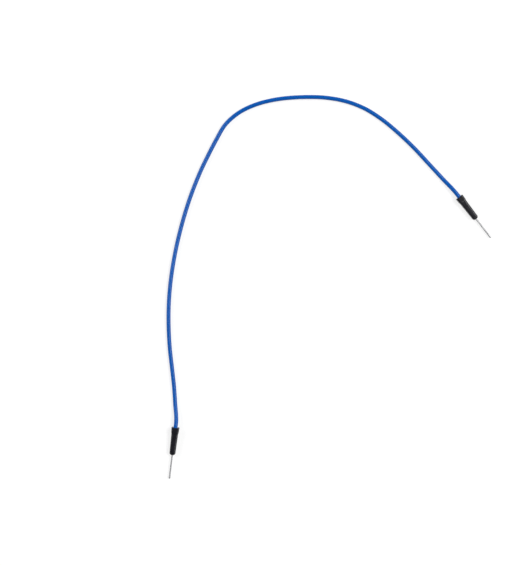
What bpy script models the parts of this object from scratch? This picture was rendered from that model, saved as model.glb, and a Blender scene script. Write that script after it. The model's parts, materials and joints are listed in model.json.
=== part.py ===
"""Breadboard jumper wire: a flexible insulated wire with a moulded pin plug on each end.

Units are metres and +Z is up. The wire lies loose on the surface z = 0. The origin is on that
surface, under the middle of the box that holds the two plugs.

Each plug is made along its own +X axis, from the middle of its rear face at x = 0, where the wire
enters, to the tip of its pin. An empty then turns it and lays it down beside the wire.
"""

import math

import bmesh
import bpy
import numpy as np
from mathutils import Matrix, Vector
from mathutils.geometry import interpolate_bezier

MM = 0.001

# Conductor: bare strands laid round a middle one
STRAND_DIAMETER = 0.16 * MM
OUTER_STRANDS = 6
STRAND_GAP = 0.03 * MM
STRAND_LAY = 25.0 * MM

# Insulation
WIRE_DIAMETER = 1.5 * MM

# Clear gap between a moulded or crimped wall and what it holds
SEAM = 0.04 * MM

# Crimp barrel at the rear of each pin
WIRE_INSERTION = 3.6 * MM
BARE_GAP = 0.3 * MM
BARREL_WALL = 0.17 * MM
BARREL_DEPTH = 2.4 * MM
BARREL_WEB = 0.3 * MM
CRIMP_DEPTH = 0.03 * MM
CRIMP_WIDTH = 0.5 * MM
CONDUCTOR_SHORT = 0.15 * MM
SHOULDER = 0.25 * MM

# Pin
PIN_DIAMETER = 0.64 * MM
PIN_LENGTH = 8.6 * MM
PIN_CHAMFER = 0.12 * MM

# Moulded head: walls are measured outwards from the pocket that holds the wire
HEAD_LENGTH = 10.0 * MM
BODY_WALL = 0.41 * MM
BODY_TAPER = 0.145 * MM
SKIRT_FLARE = 0.20 * MM
SKIRT_TAPER = 0.07 * MM
SKIRT_LENGTH = 1.6 * MM
SKIRT_RIM = 0.08 * MM
FALL_LENGTH = 0.9 * MM
NOSE_TURN = math.radians(64)
NOSE_RIM = 0.1 * MM
BODY_CORNER = 0.65 * MM
SKIRT_CORNER = 0.55 * MM
DISH_DEPTH = 0.3 * MM
DIMPLE_DEPTH = 0.15 * MM
DIMPLE_WIDTH = 0.12 * MM

# Where the plugs lie: the middle of the rear face seen from above, and the pin's heading
PLUGS = {
    "left": ((-55.3 * MM, -32.4 * MM), math.radians(-96.9)),
    "right": ((46.2 * MM, 50.1 * MM), math.radians(-52.0)),
}

# The loose wire's route between the plugs, seen from above
ROUTE = [
    (-55.5 * MM, -23.7 * MM),
    (-55.9 * MM, -17.7 * MM),
    (-56.6 * MM, -11.3 * MM),
    (-57.4 * MM, -4.1 * MM),
    (-57.8 * MM, 3.0 * MM),
    (-57.8 * MM, 10.6 * MM),
    (-57.3 * MM, 18.0 * MM),
    (-56.3 * MM, 25.5 * MM),
    (-54.8 * MM, 33.3 * MM),
    (-52.7 * MM, 41.6 * MM),
    (-50.0 * MM, 50.2 * MM),
    (-46.6 * MM, 58.8 * MM),
    (-43.5 * MM, 65.3 * MM),
    (-40.8 * MM, 70.5 * MM),
    (-37.9 * MM, 75.5 * MM),
    (-34.9 * MM, 78.6 * MM),
    (-31.5 * MM, 81.0 * MM),
    (-27.4 * MM, 82.9 * MM),
    (-22.9 * MM, 84.3 * MM),
    (-16.8 * MM, 85.4 * MM),
    (-9.3 * MM, 85.9 * MM),
    (-1.8 * MM, 85.7 * MM),
    (5.6 * MM, 84.4 * MM),
    (12.4 * MM, 81.8 * MM),
    (18.6 * MM, 77.9 * MM),
    (24.3 * MM, 73.2 * MM),
    (30.0 * MM, 67.8 * MM),
    (35.4 * MM, 62.0 * MM),
    (40.3 * MM, 56.7 * MM),
]
EXIT_RUN = 1.2 * MM
POINT_SPACING = 3.2 * MM

# Facets
WIRE_SIDES = 8
STRAND_SIDES = 6
TURNED_SIDES = 20
CORNER_STEPS = 4
FALL_STEPS = 4
NOSE_STEPS = 5
DISH_STEPS = 5
BEZIER_STEPS = 24
MERGE_DISTANCE = 0.001 * MM
SHARP_ANGLE = math.radians(35)

# What follows from the sizes above
WIRE_RADIUS = WIRE_DIAMETER / 2
PIN_RADIUS = PIN_DIAMETER / 2
STRAND_CIRCLE = STRAND_DIAMETER + STRAND_GAP
BUNDLE_RADIUS = STRAND_CIRCLE + STRAND_DIAMETER / 2
INSULATION_WALL = WIRE_RADIUS * math.cos(math.pi / WIRE_SIDES) - (BUNDLE_RADIUS + SEAM)


def clear_radius(radius):
    """Radius of a faceted bore whose flats stay one seam clear of a round piece."""
    return (radius + SEAM) / math.cos(math.pi / TURNED_SIDES)


BARREL_BORE = clear_radius(BUNDLE_RADIUS) + CRIMP_DEPTH
BARREL_RADIUS = BARREL_BORE + BARREL_WALL
BARREL_START = WIRE_INSERTION + BARE_GAP
BARREL_FLOOR = BARREL_START + BARREL_DEPTH
BARREL_END = BARREL_FLOOR + BARREL_WEB
CONDUCTOR_END = BARREL_FLOOR - CONDUCTOR_SHORT
PIN_TIP = HEAD_LENGTH + PIN_LENGTH
WIRE_POCKET = clear_radius(WIRE_RADIUS)
PIN_BORE = clear_radius(PIN_RADIUS)
BODY_HALF = WIRE_POCKET + BODY_WALL
FRONT_HALF = BODY_HALF - BODY_TAPER
NOSE_HALF = PIN_BORE + DIMPLE_WIDTH + NOSE_RIM
NOSE_RADIUS = (FRONT_HALF - NOSE_HALF) / (1 - math.cos(NOSE_TURN))
NOSE_START = HEAD_LENGTH - NOSE_RADIUS * math.sin(NOSE_TURN)
SKIRT_HALF = BODY_HALF + SKIRT_FLARE
SKIRT_FRONT = SKIRT_HALF - SKIRT_TAPER


def head_profile():
    """The head's outline as (distance from the rear face, half width, corner radius)."""
    outline = [
        (0.0, SKIRT_HALF - SKIRT_RIM, SKIRT_CORNER - SKIRT_RIM),
        (SKIRT_RIM, SKIRT_HALF, SKIRT_CORNER),
    ]
    for step in range(FALL_STEPS + 1):
        share = step / FALL_STEPS
        fallen = (1 - math.cos(share * math.pi)) / 2
        half = SKIRT_FRONT + (BODY_HALF - SKIRT_FRONT) * fallen
        corner = SKIRT_CORNER + (BODY_CORNER - SKIRT_CORNER) * fallen
        outline.append((SKIRT_LENGTH + share * FALL_LENGTH, half, corner))
    for step in range(NOSE_STEPS + 1):
        turn = NOSE_TURN * step / NOSE_STEPS
        half = FRONT_HALF - NOSE_RADIUS * (1 - math.cos(turn))
        corner = min(BODY_CORNER, half - NOSE_RIM)
        outline.append((NOSE_START + NOSE_RADIUS * math.sin(turn), half, corner))
    return outline


def resting_pose():
    """Tilt and height at which a head lies on its skirt and the front of its body."""
    behind = [(x, half) for x, half, _ in head_profile() if x < NOSE_START]
    tilt = max(math.atan2(half - FRONT_HALF, NOSE_START - x) for x, half in behind)
    height = FRONT_HALF * math.cos(tilt) + NOSE_START * math.sin(tilt)
    return tilt, height


def plug_matrix(side):
    """Where a plug lies: its rear face's middle, its heading and its resting tilt."""
    (x, y), heading = PLUGS[side]
    tilt, height = resting_pose()
    place = Matrix.Translation((x, y, height))
    return place @ Matrix.Rotation(heading, 4, "Z") @ Matrix.Rotation(tilt, 4, "Y")


def clear_scene():
    for old in list(bpy.data.objects):
        bpy.data.objects.remove(old, do_unlink=True)


def new_collection(name):
    collection = bpy.data.collections.new(name)
    bpy.context.scene.collection.children.link(collection)
    return collection


def material(name, colour, roughness, metallic):
    made = bpy.data.materials.new(name)
    made.use_nodes = True
    shader = made.node_tree.nodes["Principled BSDF"]
    shader.inputs["Base Color"].default_value = (*colour, 1.0)
    shader.inputs["Roughness"].default_value = roughness
    shader.inputs["Metallic"].default_value = metallic
    return made


def add_object(name, data, collection, finish=None, parent=None):
    made = bpy.data.objects.new(name, data)
    collection.objects.link(made)
    if finish is not None:
        data.materials.append(finish)
    made.parent = parent
    return made


def plug_empty(side, collection):
    empty = bpy.data.objects.new(f"{side}_plug", None)
    collection.objects.link(empty)
    empty.matrix_world = plug_matrix(side)
    return empty


def rounded_square(half, corner):
    """Points round a square of the given half width, with its corners rounded."""
    points = []
    for quarter in range(4):
        start = quarter * math.pi / 2
        diagonal = start + math.pi / 4
        reach = (half - corner) * math.sqrt(2)
        middle = Vector((reach * math.cos(diagonal), reach * math.sin(diagonal)))
        for step in range(CORNER_STEPS + 1):
            turn = start + step / CORNER_STEPS * math.pi / 2
            points.append(middle + corner * Vector((math.cos(turn), math.sin(turn))))
    return points


def loft_mesh(name, outline):
    """Closed body through rounded squares that stand on the X axis."""
    build = bmesh.new()
    rings = []
    for x, half, corner in outline:
        ring = [build.verts.new((x, p.x, p.y)) for p in rounded_square(half, corner)]
        rings.append(ring)
    for rear, front in zip(rings, rings[1:]):
        for i in range(len(rear)):
            j = (i + 1) % len(rear)
            build.faces.new((rear[i], rear[j], front[j], front[i]))
    build.faces.new(rings[0])
    build.faces.new(rings[-1])
    bmesh.ops.recalc_face_normals(build, faces=build.faces)
    mesh = bpy.data.meshes.new(name)
    build.to_mesh(mesh)
    build.free()
    mesh.shade_smooth()
    mesh.set_sharp_from_angle(angle=SHARP_ANGLE)
    return mesh


def profile_mesh(name, profile):
    """Chain of edges through (x, radius) points, to be turned about the X axis."""
    build = bmesh.new()
    verts = [build.verts.new((x, 0.0, radius)) for x, radius in profile]
    for first, second in zip(verts, verts[1:]):
        build.edges.new((first, second))
    mesh = bpy.data.meshes.new(name)
    build.to_mesh(mesh)
    build.free()
    return mesh


def turn_about_x(made):
    """Turn an object's profile into a solid of revolution."""
    screw = made.modifiers.new("Turned", "SCREW")
    screw.axis = "X"
    screw.angle = 2 * math.pi
    screw.steps = TURNED_SIDES
    screw.render_steps = TURNED_SIDES
    screw.use_merge_vertices = True
    screw.merge_threshold = MERGE_DISTANCE
    screw.use_smooth_shade = True
    screw.use_normal_calculate = True


def pocket_profile():
    """What is hollow in a head: rear dish, wire pocket, barrel pocket, pin bore, nose dimple."""
    rim = SKIRT_HALF * math.sqrt(2) - SKIRT_CORNER * (math.sqrt(2) - 1)
    ball = (rim**2 + DISH_DEPTH**2) / (2 * DISH_DEPTH)
    barrel_pocket = clear_radius(BARREL_RADIUS)
    profile = [(-SKIRT_HALF, 0.0), (-SKIRT_HALF, rim)]
    for step in range(DISH_STEPS + 1):
        radius = rim + (WIRE_POCKET - rim) * step / DISH_STEPS
        sunk = math.sqrt(ball**2 - radius**2) - (ball - DISH_DEPTH)
        profile.append((sunk, radius))
    profile += [
        (WIRE_INSERTION + SEAM, WIRE_POCKET),
        (WIRE_INSERTION + SEAM, barrel_pocket),
        (BARREL_END + SEAM, barrel_pocket),
        (BARREL_END + SHOULDER + SEAM, PIN_BORE),
        (HEAD_LENGTH - DIMPLE_DEPTH, PIN_BORE),
        (HEAD_LENGTH, PIN_BORE + DIMPLE_WIDTH),
        (HEAD_LENGTH + DIMPLE_DEPTH, PIN_BORE + 2 * DIMPLE_WIDTH),
        (HEAD_LENGTH + DIMPLE_DEPTH, 0.0),
    ]
    return profile


def pin_profile():
    """The pin from the floor of its crimp barrel, round the barrel's mouth and out to its tip."""
    crimp_mid = BARREL_START + BARREL_DEPTH / 2
    crimp_start = crimp_mid - CRIMP_WIDTH / 2
    crimp_stop = crimp_mid + CRIMP_WIDTH / 2
    inner = [
        (BARREL_FLOOR, 0.0),
        (BARREL_FLOOR, BARREL_BORE),
        (crimp_stop + CRIMP_WIDTH / 2, BARREL_BORE),
        (crimp_stop, BARREL_BORE - CRIMP_DEPTH),
        (crimp_start, BARREL_BORE - CRIMP_DEPTH),
        (crimp_start - CRIMP_WIDTH / 2, BARREL_BORE),
        (BARREL_START, BARREL_BORE),
    ]
    outer = [
        (BARREL_START, BARREL_RADIUS),
        (crimp_start - CRIMP_WIDTH / 2, BARREL_RADIUS),
        (crimp_start, BARREL_RADIUS - CRIMP_DEPTH),
        (crimp_stop, BARREL_RADIUS - CRIMP_DEPTH),
        (crimp_stop + CRIMP_WIDTH / 2, BARREL_RADIUS),
        (BARREL_END, BARREL_RADIUS),
        (BARREL_END + SHOULDER, PIN_RADIUS),
        (PIN_TIP - PIN_CHAMFER, PIN_RADIUS),
        (PIN_TIP, PIN_RADIUS - PIN_CHAMFER),
        (PIN_TIP, 0.0),
    ]
    return inner + outer


def add_head(side, shell, pocket, collections, finish, plug):
    """Moulded head: a lofted shell with everything it is moulded round cut out of it."""
    parts, cutters = collections
    head = add_object(f"{side}_head", shell, parts, parent=plug)
    if not shell.materials:
        shell.materials.append(finish)
    cutter = add_object(f"{side}_head_pocket", pocket, cutters, parent=plug)
    turn_about_x(cutter)
    cutter.hide_render = True
    cutter.display_type = "WIRE"
    hollow = head.modifiers.new("Pocket", "BOOLEAN")
    hollow.operation = "DIFFERENCE"
    hollow.object = cutter


def add_pin(side, profile, parts, finish, plug):
    """Turned pin with its crimp barrel."""
    pin = add_object(f"{side}_pin", profile, parts, parent=plug)
    if not profile.materials:
        profile.materials.append(finish)
    turn_about_x(pin)


def smooth_curve(points, start_direction, end_direction):
    """Smooth curve through points; between its ends it runs level, as what lies on a table."""
    directions = [start_direction]
    for before, after in zip(points, points[2:]):
        along = after - before
        along.z = 0.0
        directions.append(along.normalized())
    directions.append(end_direction)
    curve = []
    for i in range(len(points) - 1):
        handle = (points[i + 1] - points[i]).length / 3
        leaving = points[i] + directions[i] * handle
        arriving = points[i + 1] - directions[i + 1] * handle
        stretch = interpolate_bezier(points[i], leaving, arriving, points[i + 1], BEZIER_STEPS)
        curve += stretch if i == 0 else stretch[1:]
    return curve


def even_points(curve, spacing):
    """The same curve as points the given distance apart, both ends kept."""
    places = np.array([tuple(p) for p in curve])
    steps = np.linalg.norm(np.diff(places, axis=0), axis=1)
    travelled = np.concatenate([[0.0], np.cumsum(steps)])
    count = round(travelled[-1] / spacing) + 1
    wanted = np.linspace(0.0, travelled[-1], count)
    columns = [np.interp(wanted, travelled, places[:, axis]) for axis in range(3)]
    return [Vector(p) for p in zip(*columns)]


def wire_path():
    """Middle of the insulated wire, from where it ends in one head to where it ends in the other."""
    left, right = plug_matrix("left"), plug_matrix("right")
    left_axis = left.to_3x3() @ Vector((1, 0, 0))
    right_axis = right.to_3x3() @ Vector((1, 0, 0))
    exits = [left @ Vector((-EXIT_RUN, 0, 0)), right @ Vector((-EXIT_RUN, 0, 0))]
    free = [Vector((x, y, WIRE_RADIUS)) for x, y in ROUTE]
    curve = smooth_curve([exits[0], *free, exits[1]], -left_axis, right_axis)
    inside = [left @ Vector((WIRE_INSERTION, 0, 0)), right @ Vector((WIRE_INSERTION, 0, 0))]
    return even_points([inside[0], *curve, inside[1]], POINT_SPACING)


def conductor_path():
    """Middle of the conductor: the wire's own path, run on into both crimp barrels."""
    reach = Vector((CONDUCTOR_END, 0, 0))
    return [plug_matrix("left") @ reach, *wire_path(), plug_matrix("right") @ reach]


def strand_path(number):
    """One strand's own path. Strand 0 is the middle one, and the others wind round it."""
    path = conductor_path()
    if number == 0:
        return path
    strand = []
    travelled = 0.0
    for i, place in enumerate(path):
        before, after = path[max(i - 1, 0)], path[min(i + 1, len(path) - 1)]
        along = (after - before).normalized()
        side = along.cross(Vector((0, 0, 1))).normalized()
        up = side.cross(along)
        travelled += (place - before).length
        turn = 2 * math.pi * (travelled / STRAND_LAY + number / OUTER_STRANDS)
        strand.append(place + STRAND_CIRCLE * (math.cos(turn) * side + math.sin(turn) * up))
    return strand


def tube_curve(name, path, radius, sides, capped):
    """Poly-line curve with a round bevel of the given number of sides."""
    curve = bpy.data.curves.new(name, "CURVE")
    curve.dimensions = "3D"
    curve.twist_mode = "Z_UP"
    curve.bevel_depth = radius
    curve.bevel_resolution = sides // 2 - 2
    curve.use_fill_caps = capped
    spline = curve.splines.new("POLY")
    spline.points.add(len(path) - 1)
    for point, place in zip(spline.points, path):
        point.co = (*place, 1.0)
    return curve


def add_insulation(parts, finish):
    """Hollow jacket, open at both ends, round the conductor."""
    curve = tube_curve("insulation", wire_path(), WIRE_RADIUS, WIRE_SIDES, False)
    jacket = add_object("insulation", curve, parts, finish)
    wall = jacket.modifiers.new("Wall", "SOLIDIFY")
    wall.thickness = INSULATION_WALL
    wall.offset = -1.0
    wall.use_even_offset = True
    wall.use_rim = True


def add_strands(parts, finish):
    for number in range(OUTER_STRANDS + 1):
        name = f"strand_{number}"
        curve = tube_curve(name, strand_path(number), STRAND_DIAMETER / 2, STRAND_SIDES, True)
        add_object(name, curve, parts, finish)


def main():
    clear_scene()
    parts = new_collection("jumper_wire")
    cutters = new_collection("jumper_wire_cutters")

    blue_vinyl = material("blue_vinyl", (0.004, 0.105, 0.50), 0.42, 0.0)
    tinned_copper = material("tinned_copper", (0.62, 0.58, 0.54), 0.35, 1.0)
    black_moulding = material("black_moulding", (0.013, 0.013, 0.018), 0.38, 0.0)
    nickel_plate = material("nickel_plate", (0.56, 0.56, 0.57), 0.28, 1.0)

    add_insulation(parts, blue_vinyl)
    add_strands(parts, tinned_copper)

    shell = loft_mesh("head_shell", head_profile())
    pocket = profile_mesh("head_pocket", pocket_profile())
    pin = profile_mesh("pin", pin_profile())
    for side in PLUGS:
        plug = plug_empty(side, parts)
        add_head(side, shell, pocket, (parts, cutters), black_moulding, plug)
        add_pin(side, pin, parts, nickel_plate, plug)


main()
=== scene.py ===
"""Looks of a breadboard jumper wire that lies flat and is seen from straight above.

Units are metres and +Z is up. Each plug is made along its own +X axis, from the middle of its rear
face at x = 0 to the tip of its pin, and is then laid where the frame's mount says.
"""

import json
import math

import bmesh
import bpy
import numpy as np
from mathutils import Matrix, Vector
from mathutils.geometry import interpolate_bezier


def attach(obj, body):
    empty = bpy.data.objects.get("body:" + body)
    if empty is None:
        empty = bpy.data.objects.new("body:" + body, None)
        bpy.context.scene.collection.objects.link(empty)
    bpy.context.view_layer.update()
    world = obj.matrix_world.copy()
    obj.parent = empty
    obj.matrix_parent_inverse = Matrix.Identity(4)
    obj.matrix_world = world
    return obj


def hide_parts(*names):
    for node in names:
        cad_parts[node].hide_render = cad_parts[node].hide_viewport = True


MM = 0.001

# The photograph: its size, the length of one pixel, and the pixel that lies over the origin
PHOTO_PIXELS = (526, 566)
PIXEL = 0.3584 * MM
ORIGIN_PIXEL = (329.95, 336.75)

# Camera: its distance from the wire, and its sensor's width in millimetres
CAMERA_DISTANCE = 0.7
SENSOR = 36.0

# Wire
WIRE_DIAMETER = 1.5 * MM
WIRE_INSERTION = 3.6 * MM
EXIT_RUN = 1.2 * MM
POINT_SPACING = 0.8 * MM
STRAND_DIAMETER = 0.16 * MM
STRAND_GAP = 0.03 * MM
STRAND_LAY = 25.0 * MM
OUTER_STRANDS = 6
SEAM = 0.04 * MM

# The loose wire's route between the plugs, seen from above
ROUTE = [
    (-0.0555, -0.0237),
    (-0.0559, -0.0177),
    (-0.0566, -0.0113),
    (-0.0574, -0.0041),
    (-0.0578, 0.0030),
    (-0.0578, 0.0106),
    (-0.0573, 0.0180),
    (-0.0563, 0.0255),
    (-0.0548, 0.0333),
    (-0.0527, 0.0416),
    (-0.0500, 0.0502),
    (-0.0466, 0.0588),
    (-0.0435, 0.0653),
    (-0.0408, 0.0705),
    (-0.0379, 0.0755),
    (-0.0349, 0.0786),
    (-0.0315, 0.0810),
    (-0.0274, 0.0829),
    (-0.0229, 0.0843),
    (-0.0168, 0.0854),
    (-0.0093, 0.0859),
    (-0.0018, 0.0857),
    (0.0056, 0.0844),
    (0.0124, 0.0818),
    (0.0186, 0.0779),
    (0.0243, 0.0732),
    (0.0300, 0.0678),
    (0.0354, 0.0620),
    (0.0403, 0.0567),
]

# Moulded head
HEAD_LENGTH = 10.0 * MM
BODY_HALF = 1.21 * MM
FRONT_HALF = 1.065 * MM
SKIRT_HALF = 1.41 * MM
SKIRT_FRONT = 1.34 * MM
SKIRT_LENGTH = 1.6 * MM
SKIRT_RIM = 0.08 * MM
FALL_LENGTH = 0.9 * MM
NOSE_HALF = 0.585 * MM
NOSE_TURN = math.radians(64)
NOSE_RIM = 0.1 * MM
BODY_CORNER = 0.65 * MM
SKIRT_CORNER = 0.55 * MM
DISH_DEPTH = 0.3 * MM
DIMPLE_DEPTH = 0.15 * MM
DIMPLE_RADIUS = 0.485 * MM
PARTING_HEIGHT = 0.014 * MM
PARTING_WIDTH = math.radians(0.9)
MOULD_FIT = 0.004 * MM
DIMPLE_EDGE = 0.05 * MM
POCKET_EDGE = 0.1 * MM

# Pin and its crimp barrel
PIN_DIAMETER = 0.64 * MM
PIN_LENGTH = 8.6 * MM
PIN_CHAMFER = 0.12 * MM
BARREL_START = 3.9 * MM
BARREL_DEPTH = 2.4 * MM
BARREL_WEB = 0.3 * MM
BARREL_RADIUS = 0.514 * MM
BARREL_BORE = 0.344 * MM
CRIMP_DEPTH = 0.03 * MM
CRIMP_WIDTH = 0.5 * MM
CONDUCTOR_SHORT = 0.15 * MM
SHOULDER = 0.25 * MM
PIN_EDGE = 0.05 * MM

# Facets
WIRE_SIDES = 32
STRAND_SIDES = 10
PIN_SIDES = 48
RING_STEP = math.radians(3)
ARC_STEPS = 14
DISH_STEPS = 12
EDGE_STEPS = 4
SKIRT_STEPS = 4
BEZIER_STEPS = 24

# Extra facets at the mould's parting line, in widths of the line to either side of it
PARTING_FACETS = (-1.6, -0.9, -0.4, 0.4, 0.9, 1.6)

# Share of the shorter side at a corner that the corner's softening may take
EDGE_ROOM = 0.45

UP = Vector((0, 0, 1))

WIRE_RADIUS = WIRE_DIAMETER / 2
PIN_RADIUS = PIN_DIAMETER / 2
STRAND_CIRCLE = STRAND_DIAMETER + STRAND_GAP
WIRE_BORE = STRAND_CIRCLE + STRAND_DIAMETER / 2 + SEAM
BARREL_FLOOR = BARREL_START + BARREL_DEPTH
BARREL_END = BARREL_FLOOR + BARREL_WEB
CONDUCTOR_END = BARREL_FLOOR - CONDUCTOR_SHORT
PIN_TIP = HEAD_LENGTH + PIN_LENGTH
PIN_BORE = PIN_RADIUS + MOULD_FIT
WIRE_POCKET = WIRE_RADIUS + MOULD_FIT
BARREL_POCKET = BARREL_RADIUS + MOULD_FIT


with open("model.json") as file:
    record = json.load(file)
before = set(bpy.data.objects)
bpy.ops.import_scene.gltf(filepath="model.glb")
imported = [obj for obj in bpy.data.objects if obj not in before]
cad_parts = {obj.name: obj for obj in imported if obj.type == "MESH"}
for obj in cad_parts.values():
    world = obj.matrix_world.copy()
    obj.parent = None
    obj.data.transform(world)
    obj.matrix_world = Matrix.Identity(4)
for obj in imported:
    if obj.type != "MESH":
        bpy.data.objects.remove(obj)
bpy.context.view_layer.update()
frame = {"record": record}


def plug_matrix(side):
    """Where a plug lies, from the mount on its pin's tip: +X runs along the pin."""
    mounts = {mount["name"]: mount for mount in frame["record"]["mounts"]}
    tip = mounts[f"{side}_pin_tip"]
    along = Vector(tip["axis"]).normalized()
    across = UP.cross(along).normalized()
    turned = Matrix((along, across, along.cross(across))).transposed().to_4x4()
    return Matrix.Translation(Vector(tip["pos_m"]) - along * PIN_TIP) @ turned


def link(name, data):
    """A new object in the scene, with the given data."""
    piece = bpy.data.objects.new(name, data)
    bpy.context.scene.collection.objects.link(piece)
    return piece


def add_piece(name, mesh, node, finish):
    """A piece of the object that stands for one CAD node."""
    piece = link(name, mesh)
    mesh.materials.append(finish)
    mesh.shade_smooth()
    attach(piece, "root")
    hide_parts(node)
    return piece


# Camera

def add_camera():
    """Looks straight down at the photograph's middle, with the photograph's scale."""
    data = bpy.data.cameras.new("camera")
    data.sensor_width = SENSOR
    data.lens = SENSOR * CAMERA_DISTANCE / (max(PHOTO_PIXELS) * PIXEL)
    camera = link("camera", data)
    camera.location = (
        (PHOTO_PIXELS[0] / 2 - ORIGIN_PIXEL[0]) * PIXEL,
        (ORIGIN_PIXEL[1] - PHOTO_PIXELS[1] / 2) * PIXEL,
        CAMERA_DISTANCE + WIRE_RADIUS,
    )
    bpy.context.scene.camera = camera


# Wire

def smooth_curve(points, start_direction, end_direction):
    """Smooth curve through points; between its ends it runs level, as a wire on a table does."""
    directions = [start_direction]
    for before, after in zip(points, points[2:]):
        along = after - before
        along.z = 0.0
        directions.append(along.normalized())
    directions.append(end_direction)
    curve = []
    for i in range(len(points) - 1):
        handle = (points[i + 1] - points[i]).length / 3
        leaving = points[i] + directions[i] * handle
        arriving = points[i + 1] - directions[i + 1] * handle
        stretch = interpolate_bezier(points[i], leaving, arriving, points[i + 1], BEZIER_STEPS)
        curve += stretch if i == 0 else stretch[1:]
    return curve


def even_points(curve, spacing):
    """The same curve as points the given distance apart, both ends kept."""
    places = np.array([tuple(p) for p in curve])
    steps = np.linalg.norm(np.diff(places, axis=0), axis=1)
    travelled = np.concatenate([[0.0], np.cumsum(steps)])
    count = round(travelled[-1] / spacing) + 1
    wanted = np.linspace(0.0, travelled[-1], count)
    columns = [np.interp(wanted, travelled, places[:, axis]) for axis in range(3)]
    return [Vector(p) for p in zip(*columns)]


def wire_path():
    """Middle of the insulated wire, from its end in one head to its end in the other."""
    left, right = plug_matrix("left"), plug_matrix("right")
    left_axis = left.to_3x3() @ Vector((1, 0, 0))
    right_axis = right.to_3x3() @ Vector((1, 0, 0))
    exits = [left @ Vector((-EXIT_RUN, 0, 0)), right @ Vector((-EXIT_RUN, 0, 0))]
    free = [Vector((x, y, WIRE_RADIUS)) for x, y in ROUTE]
    curve = smooth_curve([exits[0], *free, exits[1]], -left_axis, right_axis)
    inside = [left @ Vector((WIRE_INSERTION, 0, 0)), right @ Vector((WIRE_INSERTION, 0, 0))]
    return even_points([inside[0], *curve, inside[1]], POINT_SPACING)


def path_frames(path):
    """For each point of a path: distance travelled, sideways direction and upward direction."""
    frames = []
    travelled = 0.0
    for i, place in enumerate(path):
        before, after = path[max(i - 1, 0)], path[min(i + 1, len(path) - 1)]
        along = (after - before).normalized()
        side = along.cross(UP).normalized()
        travelled += (place - path[max(i - 1, 0)]).length
        frames.append((travelled, side, side.cross(along)))
    return frames


def strand_path(number, path):
    """One strand's own path. Strand 0 is the middle one, and the others wind round it."""
    if number == 0:
        return path
    strand = []
    for place, (travelled, side, up) in zip(path, path_frames(path)):
        turn = 2 * math.pi * (travelled / STRAND_LAY + number / OUTER_STRANDS)
        strand.append(place + STRAND_CIRCLE * (math.cos(turn) * side + math.sin(turn) * up))
    return strand


def keep_straightened(mesh, places):
    """Keeps each point's place along and across its piece, in millimetres, for the materials."""
    kept = mesh.attributes.new("straightened", "FLOAT_VECTOR", "POINT")
    kept.data.foreach_set("vector", (np.array(places) / MM).ravel())


def tube_mesh(name, path, radius, sides, bore=None):
    """Round tube along a path: a rod with closed ends, or a pipe where it has a bore."""
    build = bmesh.new()
    straightened = []

    def skin(reach):
        rings = []
        for place, (travelled, side, up) in zip(path, path_frames(path)):
            ring = []
            for i in range(sides):
                turn = 2 * math.pi * i / sides
                across, rise = reach * math.cos(turn), reach * math.sin(turn)
                ring.append(build.verts.new(place + across * side + rise * up))
                straightened.append((travelled, across, rise))
            rings.append(ring)
        for first, second in zip(rings, rings[1:]):
            join_rings(build, first, second)
        return rings

    outside = skin(radius)
    if bore is None:
        build.faces.new(outside[0])
        build.faces.new(outside[-1])
    else:
        inside = skin(bore)
        join_rings(build, outside[0], inside[0])
        join_rings(build, outside[-1], inside[-1])
    return finish_mesh(name, build, straightened)


def join_rings(build, first, second):
    """Faces between two rings that have the same number of points."""
    for i in range(len(first)):
        j = (i + 1) % len(first)
        build.faces.new((first[i], first[j], second[j], second[i]))


def finish_mesh(name, build, straightened):
    """The mesh that was built, with its faces turned outward and its places kept."""
    bmesh.ops.recalc_face_normals(build, faces=build.faces)
    mesh = bpy.data.meshes.new(name)
    build.to_mesh(mesh)
    build.free()
    keep_straightened(mesh, straightened)
    return mesh


def add_wire(blue_vinyl, tinned_copper):
    """The jacket and its seven strands, laid along the wire's route."""
    path = wire_path()
    jacket_mesh = tube_mesh("wire_insulation", path, WIRE_RADIUS, WIRE_SIDES, WIRE_BORE)
    jacket = add_piece("wire_insulation", jacket_mesh, "insulation", blue_vinyl)

    ends = [plug_matrix(side) @ Vector((CONDUCTOR_END, 0, 0)) for side in ("left", "right")]
    conductor = even_points([ends[0], *path, ends[1]], POINT_SPACING)
    for number in range(OUTER_STRANDS + 1):
        name = f"wire_strand_{number}"
        mesh = tube_mesh(name, strand_path(number, conductor), STRAND_DIAMETER / 2, STRAND_SIDES)
        node = f"strand_{number}"
        add_piece(name, mesh, node, tinned_copper)


# Plugs

def softened(chain, reach):
    """A chain of profile points with each corner rounded, over the reach given with it."""
    rounded = [chain[0]]
    for i in range(1, len(chain) - 1):
        here = np.array(chain[i])
        back, ahead = np.array(chain[i - 1]) - here, np.array(chain[i + 1]) - here
        room = min(np.linalg.norm(back), np.linalg.norm(ahead)) * EDGE_ROOM
        setback = min(reach[i], room)
        if setback <= 0:
            rounded.append(chain[i])
            continue
        start = here + back / np.linalg.norm(back) * setback
        stop = here + ahead / np.linalg.norm(ahead) * setback
        for step in range(EDGE_STEPS + 1):
            share = step / EDGE_STEPS
            bent = (1 - share) ** 2 * start + 2 * share * (1 - share) * here + share**2 * stop
            rounded.append(tuple(bent))
    rounded.append(chain[-1])
    return rounded


def edge_distance(turn, half, corner):
    """Distance from the middle to the edge of a rounded square, in the direction of a turn."""
    turn = turn % (math.pi / 2)
    turn = min(turn, math.pi / 2 - turn)
    flat = half - corner
    if half * math.tan(turn) <= flat:
        return half / math.cos(turn)
    total = math.cos(turn) + math.sin(turn)
    apart = math.cos(turn) - math.sin(turn)
    return flat * total + math.sqrt(max(corner**2 - (flat * apart) ** 2, 0.0))


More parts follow.
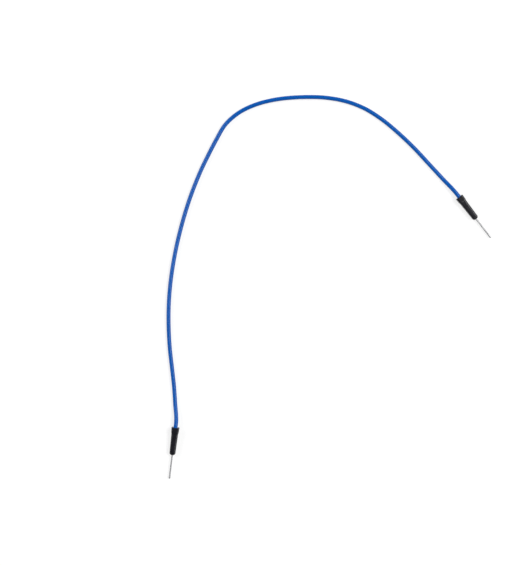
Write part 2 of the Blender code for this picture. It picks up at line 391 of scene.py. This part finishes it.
def ring_turns():
    """Directions round a head, closer together where the mould's parting line runs."""
    count = round(2 * math.pi / RING_STEP)
    turns = {i * RING_STEP for i in range(count)}
    for line in (0.0, math.pi):
        for widths in PARTING_FACETS:
            turns.add((line + widths * PARTING_WIDTH) % (2 * math.pi))
    return sorted(turns)


def outer_rings():
    """The head's outside from rear to nose, as (distance, half width, corner radius)."""
    rings = []
    for step in range(EDGE_STEPS + 1):
        turn = math.pi / 2 * step / EDGE_STEPS
        rim = SKIRT_RIM * (1 - math.sin(turn))
        rings.append((SKIRT_RIM * (1 - math.cos(turn)), SKIRT_HALF - rim, SKIRT_CORNER - rim))
    for step in range(1, SKIRT_STEPS):
        share = step / SKIRT_STEPS
        half = SKIRT_HALF + (SKIRT_FRONT - SKIRT_HALF) * share
        rings.append((SKIRT_RIM + (SKIRT_LENGTH - SKIRT_RIM) * share, half, SKIRT_CORNER))
    for step in range(ARC_STEPS + 1):
        share = step / ARC_STEPS
        fallen = (1 - math.cos(share * math.pi)) / 2
        half = SKIRT_FRONT + (BODY_HALF - SKIRT_FRONT) * fallen
        corner = SKIRT_CORNER + (BODY_CORNER - SKIRT_CORNER) * fallen
        rings.append((SKIRT_LENGTH + share * FALL_LENGTH, half, corner))
    nose_radius = (FRONT_HALF - NOSE_HALF) / (1 - math.cos(NOSE_TURN))
    nose_start = HEAD_LENGTH - nose_radius * math.sin(NOSE_TURN)
    body_start = SKIRT_LENGTH + FALL_LENGTH
    for step in range(1, ARC_STEPS):
        share = step / ARC_STEPS
        half = BODY_HALF + (FRONT_HALF - BODY_HALF) * share
        rings.append((body_start + (nose_start - body_start) * share, half, BODY_CORNER))
    for step in range(ARC_STEPS + 1):
        turn = NOSE_TURN * step / ARC_STEPS
        half = FRONT_HALF - nose_radius * (1 - math.cos(turn))
        corner = min(BODY_CORNER, half - NOSE_RIM)
        rings.append((nose_start + nose_radius * math.sin(turn), half, corner))
    return rings


def inner_rings():
    """The head's inside from the nose's dimple back to the wire's pocket, as round rings."""
    chain = [
        (HEAD_LENGTH, DIMPLE_RADIUS),
        (HEAD_LENGTH - DIMPLE_DEPTH, PIN_BORE),
        (BARREL_END + SHOULDER + SEAM, PIN_BORE),
        (BARREL_END + SEAM, BARREL_POCKET),
        (WIRE_INSERTION + SEAM, BARREL_POCKET),
        (WIRE_INSERTION + SEAM, WIRE_POCKET),
    ]
    reach = [0.0, DIMPLE_EDGE, POCKET_EDGE, POCKET_EDGE, 0.0, 0.0]
    return [(x, radius, radius) for x, radius in softened(chain, reach)]


def dish_shares():
    """Steps across the rear dish, from the rim to the wire's pocket, close together at both."""
    return [(1 - math.cos(math.pi * step / DISH_STEPS)) / 2 for step in range(1, DISH_STEPS + 1)]


def head_mesh(name):
    """Closed moulded body: skirt with a dished rear, tapered body, round nose and pockets."""
    turns = ring_turns()
    build = bmesh.new()
    straightened = []
    rim_corner = SKIRT_HALF * math.sqrt(2) - SKIRT_CORNER * (math.sqrt(2) - 1)
    ball = (rim_corner**2 + DISH_DEPTH**2) / (2 * DISH_DEPTH)

    def dish_rim(turn):
        return edge_distance(turn, SKIRT_HALF - SKIRT_RIM, SKIRT_CORNER - SKIRT_RIM)

    def sunk(reach):
        return math.sqrt(ball**2 - min(reach, rim_corner) ** 2) - (ball - DISH_DEPTH)

    def parting(turn, half):
        away = min(abs(turn), abs(turn - math.pi), abs(turn - 2 * math.pi))
        fade = min(1.0, max(0.0, (half - NOSE_HALF) / (FRONT_HALF - NOSE_HALF)))
        return PARTING_HEIGHT * math.exp(-((away / PARTING_WIDTH) ** 2)) * fade

    def add_ring(points):
        ring = []
        for x, reach, turn in points:
            place = (x, reach * math.cos(turn), reach * math.sin(turn))
            ring.append(build.verts.new(place))
            straightened.append(place)
        return ring

    rings = []
    for x, half, corner in outer_rings():
        points = []
        for turn in turns:
            scallop = sunk(dish_rim(turn)) * max(0.0, 1 - x / SKIRT_LENGTH)
            reach = edge_distance(turn, half, corner) + parting(turn, half)
            points.append((x + scallop, reach, turn))
        rings.append(add_ring(points))
    for x, half, corner in inner_rings():
        rings.append(add_ring([(x, edge_distance(turn, half, corner), turn) for turn in turns]))
    for share in reversed(dish_shares()):
        points = []
        for turn in turns:
            reach = dish_rim(turn) + (WIRE_POCKET - dish_rim(turn)) * share
            points.append((sunk(reach), reach, turn))
        rings.append(add_ring(points))
    for first, second in zip(rings, rings[1:] + rings[:1]):
        join_rings(build, first, second)
    return finish_mesh(name, build, straightened)


def pin_chain():
    """The pin from the floor of its crimp barrel, round the barrel's mouth and out to its tip."""
    crimp_mid = BARREL_START + BARREL_DEPTH / 2
    crimp_start, crimp_stop = crimp_mid - CRIMP_WIDTH / 2, crimp_mid + CRIMP_WIDTH / 2
    chain = [
        (BARREL_FLOOR, 0.0),
        (BARREL_FLOOR, BARREL_BORE),
        (crimp_stop + CRIMP_WIDTH / 2, BARREL_BORE),
        (crimp_stop, BARREL_BORE - CRIMP_DEPTH),
        (crimp_start, BARREL_BORE - CRIMP_DEPTH),
        (crimp_start - CRIMP_WIDTH / 2, BARREL_BORE),
        (BARREL_START, BARREL_BORE),
        (BARREL_START, BARREL_RADIUS),
        (crimp_start - CRIMP_WIDTH / 2, BARREL_RADIUS),
        (crimp_start, BARREL_RADIUS - CRIMP_DEPTH),
        (crimp_stop, BARREL_RADIUS - CRIMP_DEPTH),
        (crimp_stop + CRIMP_WIDTH / 2, BARREL_RADIUS),
        (BARREL_END, BARREL_RADIUS),
        (BARREL_END + SHOULDER, PIN_RADIUS),
        (PIN_TIP - PIN_CHAMFER, PIN_RADIUS),
        (PIN_TIP, PIN_RADIUS - PIN_CHAMFER),
        (PIN_TIP, 0.0),
    ]
    return softened(chain, [PIN_EDGE] * len(chain))


def pin_mesh(name):
    """The pin and its barrel as one solid turned about the X axis."""
    build = bmesh.new()
    straightened = []
    rings = []
    for x, radius in pin_chain():
        if radius == 0.0:
            rings.append([build.verts.new((x, 0, 0))])
            straightened.append((x, 0, 0))
            continue
        ring = []
        for i in range(PIN_SIDES):
            turn = 2 * math.pi * i / PIN_SIDES
            place = (x, radius * math.cos(turn), radius * math.sin(turn))
            ring.append(build.verts.new(place))
            straightened.append(place)
        rings.append(ring)
    for first, second in zip(rings, rings[1:]):
        if len(first) > 1 and len(second) > 1:
            join_rings(build, first, second)
            continue
        point, ring = (first[0], second) if len(first) == 1 else (second[0], first)
        for i in range(len(ring)):
            build.faces.new((point, ring[i], ring[(i + 1) % len(ring)]))
    return finish_mesh(name, build, straightened)


def add_plug(side, black_moulding, nickel_plate):
    """A head with its pin, laid where the frame has the plug on that side."""
    head = head_mesh(f"{side}_moulded_head")
    pin = pin_mesh(f"{side}_plated_pin")
    for mesh in (head, pin):
        mesh.transform(plug_matrix(side))
    add_piece(head.name, head, f"{side}_head", black_moulding)
    add_piece(pin.name, pin, f"{side}_pin", nickel_plate)


# Materials

# Noise hardly leaves this span of values
NOISE_LOW = 0.3
NOISE_HIGH = 0.7


def grey(level):
    """A grey of the given lightness, fully opaque."""
    return (level, level, level, 1.0)


class Finish:
    """A procedural material whose textures run along its piece, in millimetres."""

    def __init__(self, name):
        self.material = bpy.data.materials.new(name)
        self.material.use_nodes = True
        self.tree = self.material.node_tree
        self.shader = self.tree.nodes["Principled BSDF"]
        self.place = self.tree.nodes.new("ShaderNodeAttribute")
        self.place.attribute_name = "straightened"

    def link(self, source, target):
        self.tree.links.new(source, target)

    def number(self, name, value):
        self.shader.inputs[name].default_value = value

    def noise(self, along, across, detail=2.0):
        """Noise with features of the given size in millimetres along and across the piece."""
        mapping = self.tree.nodes.new("ShaderNodeMapping")
        mapping.inputs["Scale"].default_value = (1 / along, 1 / across, 1 / across)
        texture = self.tree.nodes.new("ShaderNodeTexNoise")
        texture.inputs["Scale"].default_value = 1.0
        texture.inputs["Detail"].default_value = detail
        self.link(self.place.outputs["Vector"], mapping.inputs["Vector"])
        self.link(mapping.outputs["Vector"], texture.inputs["Vector"])
        return texture.outputs["Fac"]

    def colour(self, value, low, high):
        """Base colour that a noise takes from low to high."""
        ramp = self.tree.nodes.new("ShaderNodeValToRGB")
        first, last = ramp.color_ramp.elements
        first.position, last.position = NOISE_LOW, NOISE_HIGH
        first.color, last.color = (*low, 1.0), (*high, 1.0)
        self.link(value, ramp.inputs["Fac"])
        self.link(ramp.outputs["Color"], self.shader.inputs["Base Color"])

    def roughness(self, value, low, high):
        """Roughness that a noise takes from low to high."""
        spread = self.tree.nodes.new("ShaderNodeMapRange")
        spread.inputs["From Min"].default_value = NOISE_LOW
        spread.inputs["From Max"].default_value = NOISE_HIGH
        spread.inputs["To Min"].default_value = low
        spread.inputs["To Max"].default_value = high
        self.link(value, spread.inputs["Value"])
        self.link(spread.outputs["Result"], self.shader.inputs["Roughness"])

    def bump(self, value, height, under=None):
        """Relief of the given height in millimetres; a second relief may lie under it."""
        bump = self.tree.nodes.new("ShaderNodeBump")
        bump.inputs["Strength"].default_value = 1.0
        bump.inputs["Distance"].default_value = height * MM
        self.link(value, bump.inputs["Height"])
        if under is not None:
            self.link(under, bump.inputs["Normal"])
        self.link(bump.outputs["Normal"], self.shader.inputs["Normal"])
        return bump.outputs["Normal"]


def blue_vinyl_finish():
    """Flexible extruded vinyl: faint streaks along the wire and a very fine grain."""
    finish = Finish("blue_vinyl_finish")
    streaks = finish.noise(along=14.0, across=0.35, detail=3.0)
    finish.colour(streaks, low=(0.0002, 0.095, 0.440), high=(0.0008, 0.115, 0.510))
    patches = finish.noise(along=3.0, across=1.0)
    finish.roughness(patches, low=0.25, high=0.32)
    finish.number("Specular IOR Level", 0.3)
    lines = finish.bump(finish.noise(along=6.0, across=0.12), height=0.003)
    grain = finish.noise(along=0.09, across=0.07, detail=1.0)
    finish.bump(grain, height=0.001, under=lines)
    return finish.material


def tinned_copper_finish():
    """Tin with drawn lines along the strand, warmer where the copper shows through."""
    finish = Finish("tinned_copper_finish")
    finish.number("Metallic", 1.0)
    patches = finish.noise(along=1.2, across=0.1)
    finish.colour(patches, low=(0.58, 0.53, 0.48), high=(0.66, 0.64, 0.61))
    finish.roughness(patches, low=0.28, high=0.42)
    finish.bump(finish.noise(along=2.0, across=0.02), height=0.001)
    return finish.material


def black_moulding_finish():
    """Satin black plastic: faint flow lines along the head, with a soft grain over them."""
    finish = Finish("black_moulding_finish")
    cloudy = finish.noise(along=1.6, across=0.8, detail=3.0)
    finish.colour(cloudy, low=(0.009, 0.009, 0.013), high=(0.014, 0.014, 0.020))
    finish.roughness(cloudy, low=0.27, high=0.33)
    finish.number("Specular IOR Level", 0.45)
    lines = finish.bump(finish.noise(along=6.0, across=0.5, detail=1.0), height=0.001)
    grain = finish.noise(along=0.3, across=0.3, detail=1.0)
    finish.bump(grain, height=0.0003, under=lines)
    return finish.material


def nickel_plate_finish():
    """Satin nickel over drawn wire: hair lines along the pin and slightly duller patches."""
    finish = Finish("nickel_plate_finish")
    finish.number("Metallic", 1.0)
    patches = finish.noise(along=2.5, across=0.5, detail=3.0)
    finish.colour(patches, low=(0.48, 0.48, 0.49), high=(0.53, 0.53, 0.54))
    finish.roughness(patches, low=0.50, high=0.54)
    finish.bump(finish.noise(along=8.0, across=0.09), height=0.0004)
    return finish.material


# Studio

FLOOR_REACH = 20.0
FLOOR_DROP = 0.02 * MM
FLOOR_COLOUR = 0.35
FLOOR_ROUGHNESS = 0.9

# The floor's glow near and far, and the distances where the near one ends and the far one starts
NEAR_GLOW = 0.75
FAR_GLOW = 1.0
NEAR_FLOOR = 0.15
FAR_FLOOR = 0.6

# The surroundings' light low down and overhead, and the sines of height between which it fades
HORIZON_LIGHT = 1.0
ZENITH_LIGHT = 0.06
HORIZON_TOP = 0.13
ZENITH_START = 0.36

# Softboxes, as (place, size, watts), and the point that they all face
SOFTBOXES = {
    "key_light": ((1.06, 0.23, 1.4), (1.6, 0.75), 25.0),
    "fill_light": ((-1.1, 0.5, 0.8), (1.0, 0.6), 10.0),
}
SOFTBOX_AIM = Vector((0.0, 0.02, 0.0))


def floor_material():
    """Grey floor that keeps the object's shadow, lifted to white by a glow.

    The glow is seen directly, in a gloss and through a glass, and throws no other light.
    """
    material = bpy.data.materials.new("studio_floor")
    material.use_nodes = True
    tree = material.node_tree
    shader = tree.nodes["Principled BSDF"]
    shader.inputs["Base Color"].default_value = grey(FLOOR_COLOUR)
    shader.inputs["Roughness"].default_value = FLOOR_ROUGHNESS
    shader.inputs["Specular IOR Level"].default_value = 0.0
    shader.inputs["Emission Color"].default_value = grey(1.0)
    place = tree.nodes.new("ShaderNodeTexCoord")
    away = tree.nodes.new("ShaderNodeVectorMath")
    away.operation = "LENGTH"
    tree.links.new(place.outputs["Object"], away.inputs[0])
    strength = tree.nodes.new("ShaderNodeMapRange")
    strength.inputs["From Min"].default_value = NEAR_FLOOR
    strength.inputs["From Max"].default_value = FAR_FLOOR
    strength.inputs["To Min"].default_value = NEAR_GLOW
    strength.inputs["To Max"].default_value = FAR_GLOW
    tree.links.new(away.outputs["Value"], strength.inputs["Value"])
    glow = tree.nodes.new("ShaderNodeMath")
    glow.operation = "MULTIPLY"
    tree.links.new(light_path_rays(tree), glow.inputs[0])
    tree.links.new(strength.outputs["Result"], glow.inputs[1])
    tree.links.new(glow.outputs["Value"], shader.inputs["Emission Strength"])
    return material


def light_path_rays(tree):
    """1 for rays that come from the camera, a gloss or a glass, and 0 for all others."""
    rays = tree.nodes.new("ShaderNodeLightPath")
    total = rays.outputs["Is Camera Ray"]
    for name in ("Is Glossy Ray", "Is Transmission Ray"):
        more = tree.nodes.new("ShaderNodeMath")
        more.operation = "ADD"
        more.use_clamp = True
        tree.links.new(total, more.inputs[0])
        tree.links.new(rays.outputs[name], more.inputs[1])
        total = more.outputs["Value"]
    return total


def add_floor():
    """A wide floor just under the object."""
    build = bmesh.new()
    bmesh.ops.create_grid(build, x_segments=1, y_segments=1, size=FLOOR_REACH)
    mesh = bpy.data.meshes.new("floor")
    build.to_mesh(mesh)
    build.free()
    mesh.materials.append(floor_material())
    floor = link("floor", mesh)
    floor.location.z = -FLOOR_DROP


def add_world():
    """Light that comes from all round the horizon and little from straight above."""
    world = bpy.data.worlds.new("studio")
    bpy.context.scene.world = world
    world.use_nodes = True
    tree = world.node_tree
    background = tree.nodes["Background"]
    direction = tree.nodes.new("ShaderNodeTexCoord")
    parts = tree.nodes.new("ShaderNodeSeparateXYZ")
    ramp = tree.nodes.new("ShaderNodeValToRGB")
    horizon, zenith = ramp.color_ramp.elements
    horizon.position, zenith.position = HORIZON_TOP, ZENITH_START
    horizon.color, zenith.color = grey(HORIZON_LIGHT), grey(ZENITH_LIGHT)
    tree.links.new(direction.outputs["Generated"], parts.inputs["Vector"])
    tree.links.new(parts.outputs["Z"], ramp.inputs["Fac"])
    tree.links.new(ramp.outputs["Color"], background.inputs["Color"])


def add_softbox(name, place, size, watts):
    """A rectangular lamp that faces the object."""
    data = bpy.data.lights.new(name, "AREA")
    data.shape = "RECTANGLE"
    data.size, data.size_y = size
    data.energy = watts
    softbox = link(name, data)
    softbox.location = place
    gaze = SOFTBOX_AIM - Vector(place)
    softbox.rotation_euler = gaze.to_track_quat("-Z", "Y").to_euler()


def add_studio():
    """White product studio."""
    bpy.context.scene.view_settings.view_transform = "Standard"
    add_floor()
    add_world()
    for name, (place, size, watts) in SOFTBOXES.items():
        add_softbox(name, place, size, watts)


add_camera()
add_wire(blue_vinyl_finish(), tinned_copper_finish())
moulding, plate = black_moulding_finish(), nickel_plate_finish()
for side in ("left", "right"):
    add_plug(side, moulding, plate)
add_studio()
